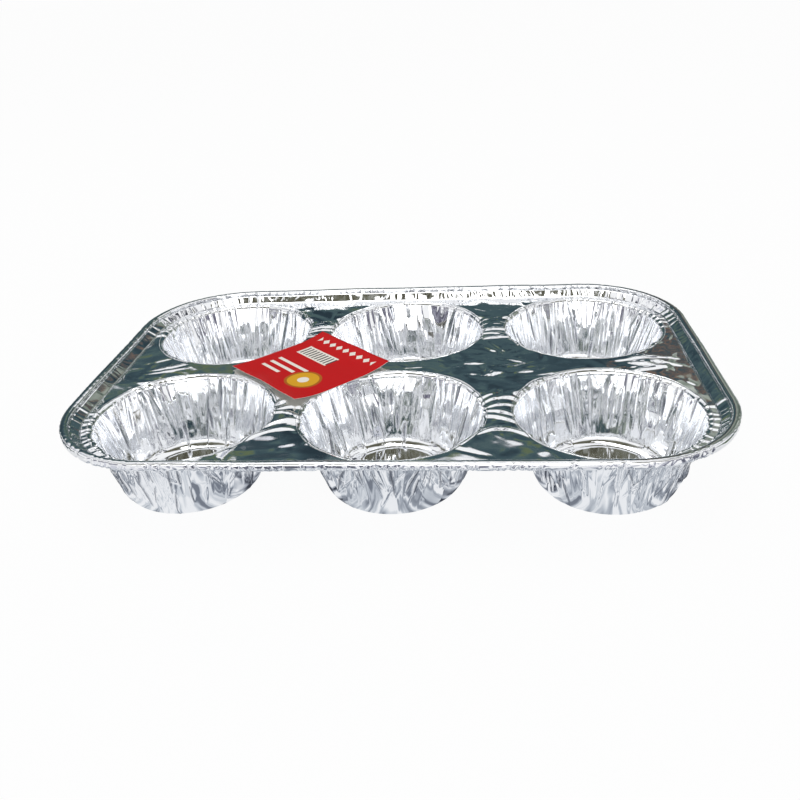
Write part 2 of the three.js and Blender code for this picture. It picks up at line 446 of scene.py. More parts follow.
def handling_relief(x, y, pan):
    """Height of the facets, short creases and side folds that handling leaves in the deck."""
    border = pan.border
    rng = draws(pan, HANDLING_STREAM)
    height = np.zeros_like(x)
    for _ in range(border.deck_waves):
        spacing = rng.uniform(7, 30) * MM
        heading = rng.uniform(0, math.pi)
        slope = rng.uniform(0.3, 1) * border.deck_slope
        wander_x = np.sin(x / (9 * MM) + rng.uniform(0, 6))
        wander_y = np.sin(y / (8 * MM) + rng.uniform(0, 6))
        across = x * math.cos(heading) + y * math.sin(heading) + 3 * MM * wander_x * wander_y
        height += slope * spacing / 4 * zigzag(across / spacing + rng.uniform(0, 1))
    for crease in range(border.deck_creases + 2 * border.star_creases):
        if crease < border.deck_creases:
            place_x = rng.uniform(-SPAN_X - LIP_EDGE, SPAN_X + LIP_EDGE)
            place_y = rng.uniform(-SPAN_Y - LIP_EDGE, SPAN_Y + LIP_EDGE)
            half_length = rng.uniform(3, 13) * MM
        else:
            place_x = rng.choice((-1, 1)) * CUP_PITCH / 2 + rng.normal(0, 10 * MM)
            place_y = rng.normal(0, 9 * MM)
            half_length = rng.uniform(4, 11) * MM
        heading = rng.uniform(0, math.pi)
        half_width = rng.uniform(0.7, 2.2) * MM
        size = rng.uniform(0.3, 1) * border.deck_crease_height * rng.choice((-1, 1))
        along, across = along_and_across(x, y, place_x, place_y, heading)
        fade = 1 - smooth_step(0.4 * half_length, half_length, np.abs(along))
        height += size * fade * sharp_ridge(across, half_width)
    for side in (-1, 1):
        for _ in range(border.side_folds):
            place_x = side * (SPAN_X + rng.uniform(18, 32) * MM)
            place_y = rng.uniform(-20, 20) * MM
            heading = rng.uniform(-0.5, 0.5)
            half_length = rng.uniform(7, 15) * MM
            half_width = rng.uniform(1.1, 2.2) * MM
            size = rng.uniform(0.4, 1) * border.side_fold_height
            along, across = along_and_across(x, y, place_x, place_y, heading)
            across = across + rng.uniform(-12, 12) * along ** 2
            fade = 1 - smooth_step(0.3 * half_length, half_length, np.abs(along))
            height += size * fade * round_ridge(across, half_width)
    return height


def beside_label(x, y):
    """1 where the foil is free, and near 0 where the label presses it flat."""
    out = (np.abs(x - LABEL_CENTRE.x) + np.abs(y - LABEL_CENTRE.y)) / math.sqrt(2)
    return 0.1 + 0.9 * smooth_step(0.46 * LABEL_SIDE, 0.56 * LABEL_SIDE, out)


def round_the_rim(x, y):
    """How far along the rim a point lies, counterclockwise from the middle of the right side."""
    inner_x = np.clip(x, -SPAN_X, SPAN_X)
    inner_y = np.clip(y, -SPAN_Y, SPAN_Y)
    angle = np.arctan2(y - inner_y, x - inner_x) % FULL_TURN
    side = np.floor((angle / FULL_TURN * 4 + 0.5) % 4).astype(int)
    straight = np.choose(side, (inner_y,
                                SPAN_Y + SPAN_X - inner_x,
                                2 * SPAN_Y + 2 * SPAN_X - inner_y,
                                3 * SPAN_Y + 3 * SPAN_X + inner_x))
    return straight + angle * BEAD_MIDDLE


def rim_wobble(along, pan):
    """How far the rim rises and falls along its length."""
    rng = draws(pan, WOBBLE_STREAM)
    waves = [(rng.uniform(0.3, 1) / math.sqrt(turns), turns, rng.uniform(0, FULL_TURN))
             for turns in range(3, 24)]
    return pan.border.rim_wobble / 2 * sum(
        size * np.sin(along / RIM_LENGTH * FULL_TURN * turns + phase) for size, turns, phase in waves)


def in_corner(x, y):
    """1 in the four corners of the rim, 0 along its straight sides."""
    out = np.minimum(np.abs(x) - SPAN_X, np.abs(y) - SPAN_Y)
    return smooth_step(-8 * MM, 6 * MM, out)


def beside(x):
    """1 along the two short sides of the rim, 0 along the front and the back."""
    return smooth_step(SPAN_X + 0.6 * BEAD_MIDDLE, SPAN_X + 0.9 * BEAD_MIDDLE, np.abs(x))


def squared(value):
    """Bends the sine or cosine of a round section so that its top and sides are flatter."""
    return math.copysign(abs(value) ** 0.6, value)


# Making meshes

def facing_up(bm):
    """Merges doubles and turns all faces so that the highest one faces up."""
    bmesh.ops.remove_doubles(bm, verts=bm.verts, dist=TINY)
    bmesh.ops.recalc_face_normals(bm, faces=bm.faces)
    bm.normal_update()
    highest = max(bm.faces, key=lambda face: face.calc_center_median().z)
    if highest.normal.z < 0:
        bmesh.ops.reverse_faces(bm, faces=bm.faces)


def as_mesh(bm, name):
    """Turns a bmesh into a mesh."""
    mesh = bpy.data.meshes.new(name)
    bm.to_mesh(mesh)
    bm.free()
    return mesh


def read_vertices(mesh, what):
    """The vertices' co or normal, as rows of x, y and z."""
    values = np.empty(3 * len(mesh.vertices))
    mesh.vertices.foreach_get(what, values)
    return values.reshape(-1, 3)


def move_vertices(mesh, places):
    """Puts the vertices at new places."""
    mesh.vertices.foreach_set("co", places.ravel())
    mesh.update()


def chain(bm, points):
    """Adds points joined by edges, and returns both."""
    verts = [bm.verts.new(point) for point in points]
    edges = [bm.edges.new(pair) for pair in zip(verts, verts[1:])]
    return verts + edges


def spin(bm, profile, steps):
    """Turns a profile once about the Z axis."""
    bmesh.ops.spin(bm, geom=profile, cent=(0, 0, 0), axis=(0, 0, 1), angle=FULL_TURN, steps=steps,
                   use_merge=True)


def flat_grid(layer, across, up, size):
    """A flat square of faces, with a UV layer."""
    bm = bmesh.new()
    bm.loops.layers.uv.new(layer)
    bmesh.ops.create_grid(bm, x_segments=across, y_segments=up, size=size, calc_uvs=True)
    return bm


def add_object(name, data):
    """Adds an object to the scene."""
    item = bpy.data.objects.new(name, data)
    bpy.context.scene.collection.objects.link(item)
    return item


def finish_piece(name, mesh, material, thickness, body, node):
    """Makes an object of a mesh, gives it the sheet's thickness, and ties it to the frame."""
    piece = add_object(name, mesh)
    mesh.materials.append(material)
    mesh.shade_smooth()
    sheet = piece.modifiers.new("sheet", "SOLIDIFY")
    sheet.thickness = thickness
    sheet.offset = -1
    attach(piece, body)
    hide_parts(node)
    return sheet


def finish_foil(mesh, node, pan):
    """Makes a zone of the foil of a mesh."""
    finish_piece("foil_" + node, mesh, rolled_foil(pan), pan.foil.thickness, "pan", node)


def cup_line(pan):
    """The upper face of a cup, from its middle to the edge of its lip, as radius and height."""
    cup = pan.cup
    skin = pan.foil.thickness
    ring_inside = cup.base_radius - cup.rest_ring
    floor_edge = ring_inside - cup.floor_slope
    foot = Vector((cup.base_radius + cup.base_rounding, skin + cup.base_rounding))
    top = Vector((LIP_EDGE - cup.lip_radius, DECK_TOP - cup.lip_radius))
    ring_outside = Vector((cup.base_radius, skin))
    taper = (top.x - foot.x) / (top.y - foot.y)
    sharp_corner = Vector((foot.x - taper * cup.base_rounding, skin))
    line = []
    for share in np.linspace(0, 1, FLOOR_ROWS)[:-1]:
        crown = cup.floor_crown * (1 - share ** 2)
        line.append((floor_edge * share, skin + cup.floor_rise + crown))
    for share in np.linspace(0, 1, SLOPE_ROWS):
        drop = smooth_step(0, 1, share)
        line.append((floor_edge + cup.floor_slope * share, skin + cup.floor_rise * (1 - drop)))
    line.append(ring_outside)
    for share in np.linspace(0, 1, ROUNDING_ROWS)[1:-1]:
        line.append(ring_outside * (1 - share) ** 2
                    + sharp_corner * 2 * share * (1 - share)
                    + foot * share ** 2)
    for share in np.linspace(0, 1, WALL_ROWS)[:-1]:
        line.append(foot.lerp(top, share))
    for turn in np.linspace(0, math.pi / 2, LIP_ROWS):
        line.append((LIP_EDGE - cup.lip_radius * math.cos(turn),
                     DECK_TOP - cup.lip_radius * (1 - math.sin(turn))))
    return line


def plain_cup(pan):
    """A cup with smooth walls, about the Z axis."""
    bm = bmesh.new()
    spin(bm, chain(bm, [(radius, 0, height) for radius, height in cup_line(pan)]), CUP_STEPS)
    facing_up(bm)
    return as_mesh(bm, "plain_cup")


def fold_cup(mesh, index, centre, pan):
    """Moves a plain cup to its place and folds its wall."""
    rest = read_vertices(mesh, "co")
    normals = read_vertices(mesh, "normal")
    radius = np.hypot(rest[:, 0], rest[:, 1])
    angle = np.arctan2(rest[:, 1], rest[:, 0])
    wall, shade = WallFolds(index, pan).relief(angle, wall_climb(radius, pan), radius)
    x = rest[:, 0] + centre.x
    y = rest[:, 1] + centre.y
    near_deck = smooth_step(DECK_TOP - 8 * MM, DECK_TOP - MM, rest[:, 2])
    press = pleat_relief(x, y, pan) + neck_relief(x, y, pan) + near_deck * handling_relief(x, y, pan)
    foot = pan.cup.base_radius + pan.cup.base_rounding
    on_wall = smooth_step(pan.cup.base_radius, foot + 1.2 * MM, radius)
    places = rest + normals * (on_wall * (wall + press) * beside_label(x, y))[:, None]
    places[:, 0] += centre.x
    places[:, 1] += centre.y
    move_vertices(mesh, places)
    mesh.attributes.new(SHADE, "FLOAT", "POINT").data.foreach_set("value", on_wall * shade)


def deck_edge_point(centre, point):
    """The point beyond a lip's where the next cup's share of the deck, or the shoulder, begins."""
    out = (point - centre).to_2d()
    side_x = math.copysign(1, out.x)
    side_y = math.copysign(1, out.y)
    reach_x = SHOULDER_FOOT if centre.x * side_x > CUP_PITCH / 2 else CUP_PITCH / 2
    reach_y = SHOULDER_FOOT if centre.y * side_y > 0 else CUP_PITCH / 2
    if reach_x == reach_y == SHOULDER_FOOT:
        out = out.normalized() * SHOULDER_FOOT
    else:
        corner = Vector((side_x * reach_x, side_y * reach_y))
        over_half_a_step = 0.51 * FULL_TURN / DECK_STEPS
        if abs(corner.angle(out)) < over_half_a_step:
            out = corner
        else:
            out *= min(reach_x / max(abs(out.x), TINY), reach_y / max(abs(out.y), TINY))
    return Vector((centre.x + out.x, centre.y + out.y, DECK_TOP))


def plain_deck():
    """The flat web between the cups, as a ring of faces round each cup."""
    bm = bmesh.new()
    spokes = []
    for centre in CUP_CENTRES.values():
        place = Matrix.Translation((centre.x, centre.y, DECK_TOP))
        lip = bmesh.ops.create_circle(bm, segments=DECK_STEPS, radius=LIP_EDGE, matrix=place)["verts"]
        lip_edges = list({edge for vert in lip for edge in vert.link_edges})
        outline = bmesh.ops.extrude_edge_only(bm, edges=lip_edges)["geom"]
        for vert in (item for item in outline if isinstance(item, bmesh.types.BMVert)):
            spokes += [edge for edge in vert.link_edges if edge not in outline]
            vert.co = deck_edge_point(centre, vert.co)
    bmesh.ops.subdivide_edges(bm, edges=list(set(spokes)), cuts=DECK_RINGS, use_grid_fill=True)
    facing_up(bm)
    return as_mesh(bm, "foil_deck")


def round_pan(section, name):
    """Sweeps a section, as radius and height about a corner cup, round the whole pan."""
    bm = bmesh.new()
    steps = 4 * CORNER_STEPS
    profile = chain(bm, [(radius, 0, height) for radius, height in section])
    half_step = Matrix.Rotation(FULL_TURN / steps / 2, 3, "Z")
    bmesh.ops.rotate(bm, verts=bm.verts, cent=(0, 0, 0), matrix=half_step)
    spin(bm, profile, steps)
    along_x = [edge for edge in bm.edges if edge.verts[0].co.x * edge.verts[1].co.x < 0]
    along_y = [edge for edge in bm.edges if edge.verts[0].co.y * edge.verts[1].co.y < 0]
    for vert in bm.verts:
        vert.co.x += math.copysign(SPAN_X, vert.co.x)
        vert.co.y += math.copysign(SPAN_Y, vert.co.y)
    for edges, span in ((along_x, SPAN_X), (along_y, SPAN_Y)):
        bmesh.ops.subdivide_edges(bm, edges=edges, cuts=round(2 * span / SIDE_STEP), use_grid_fill=True)
    facing_up(bm)
    return as_mesh(bm, name)


# Materials

def add_node(tree, kind, inputs=None, **settings):
    """Adds a node. Its inputs are values, sockets, or nodes whose first output is linked."""
    node = tree.nodes.new("ShaderNode" + kind)
    for name, value in settings.items():
        setattr(node, name, value)
    for name, value in (inputs or {}).items():
        if isinstance(value, bpy.types.Node):
            value = next(socket for socket in value.outputs if socket.enabled)
        if isinstance(value, bpy.types.NodeSocket):
            tree.links.new(value, node.inputs[name])
        else:
            node.inputs[name].default_value = value
    return node


def new_material(name):
    """An empty material, with its node tree."""
    material = bpy.data.materials.new(name)
    material.use_nodes = True
    material.node_tree.nodes.clear()
    return material, material.node_tree


def rolled_foil(pan):
    """Aluminium foil, cold rolled: a bright mirror, slightly drawn out by the rolls' fine lines."""
    foil = pan.foil
    name = "rolled_aluminium_foil"
    if name in bpy.data.materials:
        return bpy.data.materials[name]
    material, tree = new_material(name)
    place = add_node(tree, "TexCoord").outputs["Object"]
    # The rolls leave lines 0.4 mm apart along the pan, drawn that coarse so that they show.
    drawn_out = add_node(tree, "Mapping", {"Vector": place, "Scale": (0.02, 1, 0.3)})
    lines = add_node(tree, "TexNoise", {"Vector": drawn_out, "Scale": 1 / (0.4 * MM), "Detail": 2.0})
    # Handling leaves dull smudges about 15 mm wide and crinkles about 1.5 mm wide.
    smudges = add_node(tree, "TexNoise", {
        "Vector": place, "Scale": 1 / (15 * MM), "Detail": 3.0, "Roughness": 0.6})
    crinkles = add_node(tree, "TexNoise", {
        "Vector": place, "Scale": 1 / (1.5 * MM), "Detail": 2.0, "Distortion": 0.6})
    tint = add_node(tree, "Mix", {
        "Factor": smudges, "A": (*foil.bright, 1), "B": (*foil.dull, 1)}, data_type="RGBA")
    # Painted shade: the lines of the folds that are pressed in take a darker colour, for the light that they
    # trap.
    in_fold = add_node(tree, "Attribute", attribute_name=SHADE).outputs["Fac"]
    shaded = add_node(tree, "Mix", {"Factor": in_fold, "A": tint, "B": (*foil.painted_fold_shade, 1)}, data_type="RGBA")
    rough = add_node(tree, "MapRange", {
        "Value": smudges, "From Min": 0.3, "From Max": 0.75,
        "To Min": 0.7 * foil.roughness, "To Max": 1.6 * foil.roughness})
    line_bump = add_node(tree, "Bump", {"Height": lines, "Strength": 0.25, "Distance": 0.01 * MM})
    bump = add_node(tree, "Bump", {
        "Height": crinkles, "Normal": line_bump, "Strength": 0.5, "Distance": 0.012 * MM})
    metal = add_node(tree, "BsdfPrincipled", {
        "Base Color": shaded, "Roughness": rough, "Normal": bump, "Metallic": 1.0})
    add_node(tree, "OutputMaterial", {"Surface": metal})
    return material


def printed_paper(pan):
    """Coated label paper, offset printed: an even red under a satin varnish, with pale and golden shapes."""
    label = pan.label
    material, tree = new_material("printed_label_paper")
    print_place = add_node(tree, "UVMap", uv_map="print").outputs["UV"]
    split = add_node(tree, "SeparateXYZ", {"Vector": print_place})
    across = split.outputs["X"]
    up = split.outputs["Y"]
    object_place = add_node(tree, "TexCoord").outputs["Object"]
    # Ink takes unevenly on the paper's fibres, in flecks about 0.5 mm wide.
    flecks = add_node(tree, "TexNoise", {"Vector": object_place, "Scale": 1 / (0.5 * MM), "Detail": 3.0})
    shade = add_node(tree, "MapRange", {"Value": flecks, "To Min": 0.86, "To Max": 1.14})
    printed = add_node(tree, "HueSaturation", {"Value": shade, "Color": (*label.ground, 1)})
    unit = MM / LABEL_SIDE

    def within(value, middle, half_width):
        """1 where a share of the label is within a half width, in millimetres, of a middle."""
        return add_node(tree, "Math", {0: value, 1: middle, 2: half_width * unit}, operation="COMPARE")

    def both(first, second):
        """1 where both masks are 1."""
        return add_node(tree, "Math", {0: first, 1: second}, operation="MULTIPLY")

    def paint(mask, tone):
        """Prints a tone over what is there."""
        return add_node(tree, "Mix", {"Factor": mask, "A": printed, "B": (*tone, 1)}, data_type="RGBA")

    # Three pale bars of falling length
    for row, half_length in enumerate((11, 9, 6.5)):
        in_row = within(up, 0.42 - 0.09 * row, 0.9)
        printed = paint(both(in_row, within(across, 0.13 + half_length * unit, half_length)), label.pale)
    # A round golden motif with a shaded rim
    from_motif = add_node(tree, "VectorMath", {0: print_place, 1: (0.68, 0.30, 0)}, operation="DISTANCE")
    for radius, tone in ((8.2, label.amber), (7, label.gold), (2.6, label.pale)):
        printed = paint(within(from_motif.outputs["Value"], 0.0, radius), tone)
    # A pale band of evenly spaced stripes
    band = both(within(up, 0.68, 4.2), within(across, 0.36, 11))
    printed = paint(band, label.pale)
    stripe_place = add_node(tree, "Math", {0: across, 1: 1.1 * unit}, operation="PINGPONG")
    stripes = both(both(band, within(up, 0.68, 3.2)), within(stripe_place, 0.0, 0.45))
    printed = paint(stripes, label.ink)
    # A row of pale lozenges along the far edge
    lozenge_place = add_node(tree, "Math", {0: across, 1: 2.5 * unit}, operation="PINGPONG")
    off_row = add_node(tree, "Math", {0: up, 1: 0.90}, operation="SUBTRACT")
    tall = add_node(tree, "Math", {0: off_row}, operation="ABSOLUTE")
    total = add_node(tree, "Math", {0: lozenge_place, 1: tall})
    printed = paint(both(within(total, 0.0, 1.9), within(across, 0.5, 20)), label.pale)
    bump = add_node(tree, "Bump", {"Height": flecks, "Strength": 0.2, "Distance": 0.02 * MM})
    varnish = add_node(tree, "MapRange", {"Value": flecks, "To Min": 0.34, "To Max": 0.5})
    paper = add_node(tree, "BsdfPrincipled", {
        "Base Color": printed, "Roughness": varnish, "Normal": bump, "IOR": 1.5,
        "Specular IOR Level": 0.12})
    add_node(tree, "OutputMaterial", {"Surface": paper})
    return material


def grained(name, size, detail, stretch, tones, roughness, strength, height, ior):
    """A material whose tone, gloss and relief follow the same grains."""
    material, tree = new_material(name)
    place = add_node(tree, "TexCoord").outputs["Object"]
    drawn_out = add_node(tree, "Mapping", {"Vector": place, "Scale": stretch})
    grains = add_node(tree, "TexNoise", {"Vector": drawn_out, "Scale": 1 / size, "Detail": detail})
    dark, light = [(*linear(code), 1) for code in tones]
    tone = add_node(tree, "Mix", {"Factor": grains, "A": dark, "B": light}, data_type="RGBA")
    gloss = add_node(tree, "MapRange", {"Value": grains, "To Min": roughness[0], "To Max": roughness[1]})
    bump = add_node(tree, "Bump", {"Height": grains, "Strength": strength, "Distance": height})
    coat = add_node(tree, "BsdfPrincipled", {
        "Base Color": tone, "Roughness": gloss, "Normal": bump, "IOR": ior})
    add_node(tree, "OutputMaterial", {"Surface": coat})
    return material


def bare_paper():
    """The uncoated back and cut edges of the label: off-white and matt, with fibres 0.8 mm wide."""
    return grained("uncoated_label_paper", size=0.8 * MM, detail=4.0, stretch=(1, 1, 1),
                   tones=("#E9E4D8", "#F6F3EC"), roughness=(0.85, 0.85), strength=0.3,
                   height=0.02 * MM, ior=1.5)


def label_glue():
    """Acrylic label glue: a yellowish film with a wet gloss, in drawn-out streaks 1.5 mm wide."""
    return grained("acrylic_label_glue", size=1.5 * MM, detail=2.0, stretch=(0.2, 1, 1),
                   tones=("#D9CFAF", "#ECE5CF"), roughness=(0.18, 0.42), strength=0.5,
                   height=0.05 * MM, ior=1.47)


def seen_share(tree, to_camera, to_mirror):
    """The share of white that a ray meets, from the camera or from a mirror or glass."""
    path = add_node(tree, "LightPath")
    seen = add_node(tree, "Math", {0: path.outputs["Is Camera Ray"], 1: to_camera}, operation="MULTIPLY")
    bent = add_node(tree, "Math", {
        0: path.outputs["Is Glossy Ray"], 1: path.outputs["Is Transmission Ray"]}, operation="MAXIMUM")
    mirrored = add_node(tree, "Math", {0: bent, 1: to_mirror}, operation="MULTIPLY")
    return add_node(tree, "Math", {0: seen, 1: mirrored}, operation="MAXIMUM")


def pale_floor(pan):
    """Seamless studio paper: white to the eye, with a faint shadow under the pan."""
    material, tree = new_material("studio_paper")
    matt = add_node(tree, "BsdfDiffuse", {"Color": (*pan.stage.floor, 1)})
    glow = add_node(tree, "Emission", {"Color": (1, 1, 1, 1), "Strength": 1.0})
    mixed = add_node(tree, "MixShader", {0: seen_share(tree, 0.95, 0.25), 1: matt, 2: glow})
    add_node(tree, "OutputMaterial", {"Surface": mixed})
    return material


def glowing_patches(name, scale, tones):
    """What the foil mirrors: blurred glowing patches, for dim surroundings beyond the studio paper and for
    painted shade on the floor near the pan.
    """
    material, tree = new_material(name)
    place = add_node(tree, "UVMap", uv_map="card").outputs["UV"]
    stretched = add_node(tree, "Mapping", {"Vector": place, "Scale": scale})
    patches = add_node(tree, "TexNoise", {
        "Vector": stretched, "Scale": 1.0, "Detail": 2.0, "Distortion": 0.8})
    ramp = add_node(tree, "ValToRGB", {"Fac": patches})
    stops = ramp.color_ramp.elements
    for share, code in tones[1:-1]:
        stops.new(share).color = (*linear(code), 1)
    for stop, (share, code) in zip((stops[0], stops[-1]), (tones[0], tones[-1])):
        stop.position = share
        stop.color = (*linear(code), 1)
    glow = add_node(tree, "Emission", {"Color": ramp, "Strength": 1.0})
    add_node(tree, "OutputMaterial", {"Surface": glow})
    return material


# Operators

class FOILPAN_OT_cups(bpy.types.Operator):
    """Build the six creased cups"""
    bl_idname = "foilpan.cups"
    bl_label = "Cups"

    def execute(self, context):
        pan = context.scene.foil_pan
        plain = plain_cup(pan)
        for index, (name, centre) in enumerate(CUP_CENTRES.items()):
            mesh = plain.copy()
            mesh.name = "foil_" + name
            fold_cup(mesh, index, centre, pan)
            finish_foil(mesh, name, pan)
        bpy.data.meshes.remove(plain)
        return {"FINISHED"}


class FOILPAN_OT_deck(bpy.types.Operator):
    """Build the dented deck between the cups"""
    bl_idname = "foilpan.deck"
    bl_label = "Deck"

    def execute(self, context):
        pan = context.scene.foil_pan
        mesh = plain_deck()
        places = read_vertices(mesh, "co")
        x, y, _ = places.T.copy()
        folds = lip_relief(x, y, pan) + pleat_relief(x, y, pan)
        folds = folds + neck_relief(x, y, pan) + handling_relief(x, y, pan)
        places[:, 2] += folds * beside_label(x, y)
        move_vertices(mesh, places)
        finish_foil(mesh, "deck", pan)
        return {"FINISHED"}


class FOILPAN_OT_shoulder(bpy.types.Operator):
    """Build the crinkled slope between the deck and the rim"""
    bl_idname = "foilpan.shoulder"
    bl_label = "Shoulder"

    def execute(self, context):
        pan = context.scene.foil_pan
        foot = Vector((SHOULDER_FOOT, DECK_TOP))
        head = Vector((BEAD_MIDDLE - BEAD_RADIUS, BEAD_HEIGHT))
        shares = np.linspace(0, 1, SHOULDER_STEPS)
        mesh = round_pan([foot.lerp(head, share) for share in shares], "foil_shoulder")
        places = read_vertices(mesh, "co")
        normals = read_vertices(mesh, "normal")
        x, y, z = places.T.copy()
        climb = (z - foot.y) / (head.y - foot.y)
        rng = draws(pan, SHOULDER_STREAM)
        count = 2 * round(RIM_LENGTH / CRINKLE_SPACING)
        knots = np.sort(rng.uniform(0, RIM_LENGTH, count))
        heights = np.where(np.arange(count) % 2, 1, -1) * rng.uniform(0.1, 1, count)
        along = round_the_rim(x, y)
        lean = np.interp(along, knots, rng.normal(0, 2.4 * MM, count), period=RIM_LENGTH)
        crinkle = np.interp(along + lean * climb, knots, heights, period=RIM_LENGTH)
        swell = np.sin(np.clip(climb, 0, 1) * math.pi)
        swell = swell * (1 - 0.7 * in_corner(x, y)) * (1 - 0.6 * beside(x))
        places += normals * (pan.border.shoulder_crinkle * crinkle * swell)[:, None]
        deck_side = lip_relief(x, y, pan) + handling_relief(x, y, pan)
        places[:, 2] += deck_side * (1 - smooth_step(0, 0.8, climb)) + pleat_relief(x, y, pan)
        places[:, 2] += rim_wobble(along, pan) * smooth_step(0, 1, climb)
        move_vertices(mesh, places)
        finish_foil(mesh, "shoulder", pan)
        return {"FINISHED"}


class FOILPAN_OT_rim(bpy.types.Operator):
    """Build the rolled rim with its crimps"""
    bl_idname = "foilpan.rim"
    bl_label = "Rolled Rim"

    def execute(self, context):
        pan = context.scene.foil_pan
        turns = np.radians(np.linspace(CURL_SLIT - 180, 180, BEAD_STEPS + 1))
        section = [(BEAD_MIDDLE + BEAD_RADIUS * squared(math.cos(turn)),
                    BEAD_HEIGHT + BEAD_RADIUS * squared(math.sin(turn))) for turn in turns]
        mesh = round_pan(section, "foil_rolled_rim")
        places = read_vertices(mesh, "co")
        normals = read_vertices(mesh, "normal")
        x, y, z = places.T.copy()
        along = round_the_rim(x, y)
        reach = np.hypot(x - np.clip(x, -SPAN_X, SPAN_X), y - np.clip(y, -SPAN_Y, SPAN_Y))
        round_bead = np.arctan2(z - BEAD_HEIGHT, reach - BEAD_MIDDLE)
        rng = draws(pan, CRIMP_STREAM)
        depth = np.zeros_like(along)
        for _ in range(pan.border.crimps):
            centre = rng.uniform(0, RIM_LENGTH)
            lean = rng.uniform(-1.3, 1.3) * MM
            half_width = rng.uniform(0.6, 1.3) * MM
            size = rng.uniform(0.3, 1) * pan.border.crimp_depth
            offset = (along - centre - lean * round_bead + RIM_LENGTH / 2) % RIM_LENGTH - RIM_LENGTH / 2
            depth += size * sharp_ridge(offset, half_width)
        # Crimps are deeper in the corners and at the back, and fade on the short sides and at the top.
        depth = depth * (0.7 + 0.2 * in_corner(x, y) + 0.5 * (y > 0)) * (1 - 0.5 * beside(x))
        depth = np.minimum(depth, 1.4 * pan.border.crimp_depth)
        depth *= 1 - 0.85 * smooth_step(0.4, 0.9, np.sin(round_bead))
        places -= normals * depth[:, None]
        places[:, 2] += rim_wobble(along, pan)
        move_vertices(mesh, places)
        finish_foil(mesh, "rolled_rim", pan)
        return {"FINISHED"}


class FOILPAN_OT_label(bpy.types.Operator):
    """Build the curling paper label, and finish the glue under it"""
    bl_idname = "foilpan.label"
    bl_label = "Label"

    def execute(self, context):
        pan = context.scene.foil_pan
        label = pan.label
        mesh = as_mesh(flat_grid("print", LABEL_STEPS, LABEL_STEPS, LABEL_SIDE / 2), "paper_label")
        places = read_vertices(mesh, "co")
        x, y, _ = places.T
        curl = LABEL_HIGH.z - LABEL_LOW.z - label.paper
        share = np.clip((np.abs(y) - label.flat / 2) / ((LABEL_SIDE - label.flat) / 2), 0, 1)
        settled = round_ridge(np.hypot(x + LABEL_SIDE / 2, y + LABEL_SIDE / 2), 0.5 * LABEL_SIDE)
        ripple = RIPPLE_HEIGHT * np.sin(x * FULL_TURN / RIPPLE_LENGTH + 1.0) * share
        places[:, 2] = curl * share ** 2 * (1 - 0.6 * settled) + ripple + LABEL_LOW.z + label.paper
        move_vertices(mesh, places)
        turn = Matrix.Rotation(math.radians(LABEL_TURN), 4, "Z")
        mesh.transform(Matrix.Translation((LABEL_CENTRE.x, LABEL_CENTRE.y, 0)) @ turn)
        sheet = finish_piece("paper_label", mesh, printed_paper(pan), label.paper, "label", "label")
        mesh.materials.append(bare_paper())
        sheet.material_offset = 1
        sheet.material_offset_rim = 1
        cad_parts["label_glue"].data.materials.clear()
        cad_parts["label_glue"].data.materials.append(label_glue())
        return {"FINISHED"}


# What the foil mirrors: for each set of patches, how often they repeat over a card, and their tones
PATCH_SETS = {
    "dim_room_behind": ((5, 2, 1), (
        (0.34, "#2C3A42"), (0.48, "#40535A"), (0.56, "#4E6263"), (0.62, "#66724C"), (0.67, "#485C61"),
        (0.76, "#959886"), (0.85, "#5A4E45"))),
    "dim_room_shelf": ((2, 6, 1), (
        (0.42, "#40535A"), (0.50, "#574F4B"), (0.58, "#7C685C"), (0.66, "#4A5254"))),
    "dim_room_corner": ((4, 2, 1), (
        (0.36, "#4C5650"), (0.48, "#7C867C"), (0.58, "#A9B0A6"), (0.66, "#E4E6E0"))),
    "dim_room_haze": ((8, 1, 1), (
        (0.36, "#A4A6BA"), (0.46, "#D8DAE4"), (0.54, "#FFFFFF"))),
    "dim_room_windows": ((12, 1, 1), (
        (0.39, "#2B3038"), (0.43, "#85879A"), (0.47, "#FFFFFF"))),
    "dim_room_floor": ((16, 2, 1), (
        (0.40, "#5C5E6A"), (0.48, "#9A9CAA"), (0.54, "#D8D9E2"), (0.58, "#FFFFFF"))),
    # Painted shade: grey streaks on the floor before the pan, seen only in mirrors
    "dim_room_before_the_pan": ((60, 2, 1), (
        (0.37, "#7A808B"), (0.46, "#AEB4BD"), (0.53, "#D0D5DB"), (0.60, "#F4F5F7"))),
    # Painted shadow: darker patches on the floor under the pan, seen only in mirrors
    "dim_room_under_the_pan": ((50, 8, 1), (
        (0.38, "#40444E"), (0.47, "#868B95"), (0.55, "#BABFC7"), (0.62, "#F4F5F7"))),
    "dim_room_beside_the_camera": ((14, 1.5, 1), (
        (0.36, "#3E3F4A"), (0.48, "#6E6C7C"), (0.55, "#8F8E9E"), (0.64, "#C9CAD2"))),
    "dim_room_above_the_camera": ((6, 3, 1), (
        (0.34, "#4C4A3E"), (0.5, "#6B6A5A"), (0.62, "#8B8C84"))),
}
